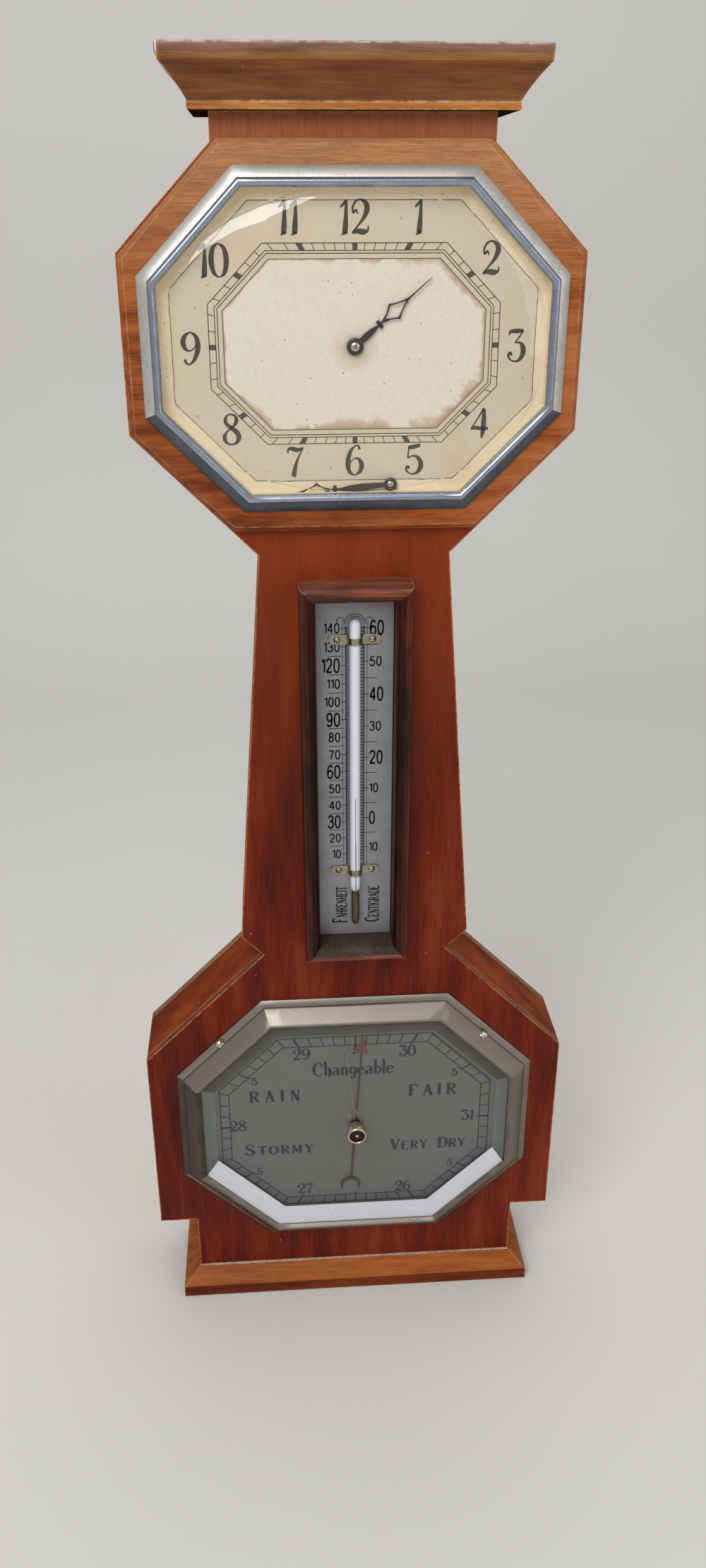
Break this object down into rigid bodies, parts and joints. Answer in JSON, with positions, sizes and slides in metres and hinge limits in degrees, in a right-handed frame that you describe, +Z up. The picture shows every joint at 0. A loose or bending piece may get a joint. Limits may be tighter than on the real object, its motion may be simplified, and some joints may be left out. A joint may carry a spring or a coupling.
{
  "type": "barometer clock",
  "caption": "Tall veneered case with an octagonal clock over a thermometer and an aneroid barometer; stands on its plinth or hangs from a keyhole plate.",
  "frame": {"origin": "on the floor under the middle of the case, half way between the cornice's front and the back board's back", "axes": "+Z up, +X to the viewer's right when facing the dials, +Y to the back, so the front faces -Y"},
  "size_m": [0.2672, 0.0738, 0.7561],
  "materials": {
    "veneer_front": "polished vertical veneer",
    "veneer_sides": "polished veneer",
    "board_veneer": "polished horizontal veneer",
    "cornice_wood": "polished, worn edges",
    "plinth_wood": "polished, dusty",
    "dark_moulding": "dark polished moulding",
    "back_wood": "plain unpolished board",
    "silvered_scale": "silvered, brushed",
    "white_glass": "white-backed tube",
    "liquid": "dark thermometer liquid",
    "brass": "polished brass",
    "movement_brass": "lacquered brass",
    "steel": "ground steel",
    "spring_steel": "blued spring steel",
    "bezel_metal": "chromium plate, pitted",
    "spacer_metal": "plain metal",
    "glass": "clear glass",
    "clock_dial_paint": "cream and champagne dial",
    "silvered_dial": "silvered, matt",
    "hand_paint": "dark hands",
    "pointer_paint": "dark red-brown hand",
    "pale_brass": "pale brass",
    "aneroid_metal": "dull brass",
    "cast_iron": "painted casting"
  },
  "bodies": {
    "case": {"back_board": "back_wood", "head_sides": "veneer_sides", "trunk_sides": "veneer_sides", "lower_sides": "veneer_sides", "front_panel": "veneer_front", "clock_board": "board_veneer", "cornice": "cornice_wood", "plinth": "plinth_wood", "thermometer_frame": "dark_moulding", "thermometer_plate": "silvered_scale", "thermometer_tube": "white_glass", "thermometer_liquid": "liquid", "tube_clips": "brass", "clip_screws": "brass", "clock_bezel": "bezel_metal", "clock_spacer": "spacer_metal", "clock_glass": "glass", "clock_dial": "clock_dial_paint", "movement_front_plate": "movement_brass", "movement_back_plate": "movement_brass", "movement_pillars": "movement_brass", "plate_screws": "steel", "balance_cock": "movement_brass", "barometer_bezel": "bezel_metal", "bezel_screws": "bezel_metal", "barometer_glass": "glass", "barometer_spacer": "spacer_metal", "barometer_dial": "silvered_dial", "aneroid_base": "aneroid_metal", "vacuum_capsule": "aneroid_metal", "spring_bridge": "cast_iron", "leaf_spring": "spring_steel", "hanger_plate": "brass", "wood_screws": "steel"},
    "hands_arbor": {"centre_arbor": "steel", "setting_knob": "brass"},
    "hour_hand": {"hour_wheel": "movement_brass", "hour_hand": "hand_paint"},
    "minute_wheel": {"minute_wheel": "movement_brass"},
    "loose_minute_hand": {"minute_hand": "hand_paint"},
    "barrel": {"barrel": "movement_brass", "mainspring": "spring_steel"},
    "winding_arbor": {"barrel_arbor": "steel", "winding_key": "brass"},
    "click": {"click": "steel"},
    "centre_wheel": {"centre_wheel": "movement_brass"},
    "third_wheel": {"third_wheel": "movement_brass"},
    "fourth_wheel": {"fourth_wheel": "movement_brass"},
    "escape_wheel": {"escape_wheel": "movement_brass"},
    "pallet_lever": {"pallet_lever": "steel"},
    "balance": {"balance_wheel": "movement_brass", "hairspring": "spring_steel"},
    "regulator": {"regulator": "steel"},
    "indicating_hand": {"indicating_hand": "pointer_paint", "pointer_arbor": "steel"},
    "set_hand": {"set_hand": "pale_brass", "set_knob": "brass"},
    "main_lever": {"main_lever": "steel"},
    "rocking_arbor": {"rocking_arbor": "steel"},
    "adjusting_screw": {"adjusting_screw": "brass"}
  },
  "joints": [
    {"name": "hand_setting", "type": "hinge", "parent": "case", "child": "hands_arbor", "pos_m": [0, 0, 0.62887], "axis": [0, 1, 0], "continuous": true},
    {"name": "hour_hand_turn", "type": "hinge", "parent": "case", "child": "hour_hand", "pos_m": [0, 0, 0.62887], "axis": [0, 1, 0], "continuous": true},
    {"name": "minute_wheel_turn", "type": "hinge", "parent": "case", "child": "minute_wheel", "pos_m": [0.0072, 0, 0.6164], "axis": [0, 1, 0], "continuous": true},
    {"name": "loose_hand_slide", "type": "slide", "parent": "case", "child": "loose_minute_hand", "axis": [1, 0, 0], "range_m": [-0.004, 0.02]},
    {"name": "fourth_wheel_turn", "type": "hinge", "parent": "case", "child": "fourth_wheel", "pos_m": [-0.00485, 0, 0.64347], "axis": [0, 1, 0], "continuous": true},
    {"name": "third_wheel_turn", "type": "hinge", "parent": "case", "child": "third_wheel", "pos_m": [0.0072, 0, 0.64135], "axis": [0, 1, 0], "continuous": true},
    {"name": "centre_wheel_turn", "type": "hinge", "parent": "case", "child": "centre_wheel", "pos_m": [0, 0, 0.62887], "axis": [0, 1, 0], "continuous": true},
    {"name": "barrel_turn", "type": "hinge", "parent": "case", "child": "barrel", "pos_m": [-0.01556, 0, 0.61332], "axis": [0, 1, 0], "continuous": true},
    {"name": "escape_wheel_turn", "type": "hinge", "parent": "case", "child": "escape_wheel", "pos_m": [-0.01476, 0, 0.64919], "axis": [0, 1, 0], "continuous": true},
    {"name": "winding", "type": "hinge", "parent": "case", "child": "winding_arbor", "pos_m": [-0.01556, 0, 0.61332], "axis": [0, 1, 0], "range_deg": [0, 720]},
    {"name": "click_lift", "type": "hinge", "parent": "case", "child": "click", "pos_m": [-0.00456, 0, 0.60832], "axis": [0, 1, 0], "range_deg": [0, 15]},
    {"name": "balance_swing", "type": "hinge", "parent": "case", "child": "balance", "pos_m": [-0.00016, 0, 0.65543], "axis": [0, 1, 0], "range_deg": [-135, 135]},
    {"name": "pallet_rock", "type": "hinge", "parent": "case", "child": "pallet_lever", "pos_m": [-0.01116, 0, 0.65543], "axis": [0, 1, 0], "range_deg": [-7, 7]},
    {"name": "regulator_turn", "type": "hinge", "parent": "case", "child": "regulator", "pos_m": [-0.00016, 0, 0.65543], "axis": [0, 1, 0], "range_deg": [-20, 20]},
    {"name": "pressure_pointer", "type": "hinge", "parent": "case", "child": "indicating_hand", "pos_m": [0, 0, 0.1432], "axis": [0, 1, 0], "range_deg": [-150, 150]},
    {"name": "set_hand_turn", "type": "hinge", "parent": "case", "child": "set_hand", "pos_m": [0, 0, 0.1432], "axis": [0, 1, 0], "continuous": true},
    {"name": "rocking_arbor_turn", "type": "hinge", "parent": "case", "child": "rocking_arbor", "pos_m": [0.034, -0.0052, 0.1432], "axis": [0, 0, 1], "range_deg": [-7, 7]},
    {"name": "main_lever_flex", "type": "hinge", "parent": "case", "child": "main_lever", "pos_m": [-0.0015, -0.0052, 0.1432], "axis": [0, 0, 1], "range_deg": [-0.8, 0.8]},
    {"name": "adjusting_screw_turn", "type": "hinge", "parent": "case", "child": "adjusting_screw", "pos_m": [-0.012, 0, 0.1432], "axis": [0, 1, 0], "continuous": true}
  ],
  "couplings": [
    {"joint": "hour_hand_turn", "follows": "hand_setting", "ratio": 0.083333},
    {"joint": "minute_wheel_turn", "follows": "hand_setting", "ratio": -0.33333},
    {"joint": "third_wheel_turn", "follows": "fourth_wheel_turn", "ratio": -0.13333},
    {"joint": "centre_wheel_turn", "follows": "fourth_wheel_turn", "ratio": 0.016667},
    {"joint": "barrel_turn", "follows": "fourth_wheel_turn", "ratio": -0.0016667},
    {"joint": "escape_wheel_turn", "follows": "fourth_wheel_turn", "ratio": -10},
    {"joint": "pallet_rock", "follows": "balance_swing", "ratio": 0.022222},
    {"joint": "rocking_arbor_turn", "follows": "pressure_pointer", "ratio": 0.04},
    {"joint": "main_lever_flex", "follows": "pressure_pointer", "ratio": 0.004}
  ]
}
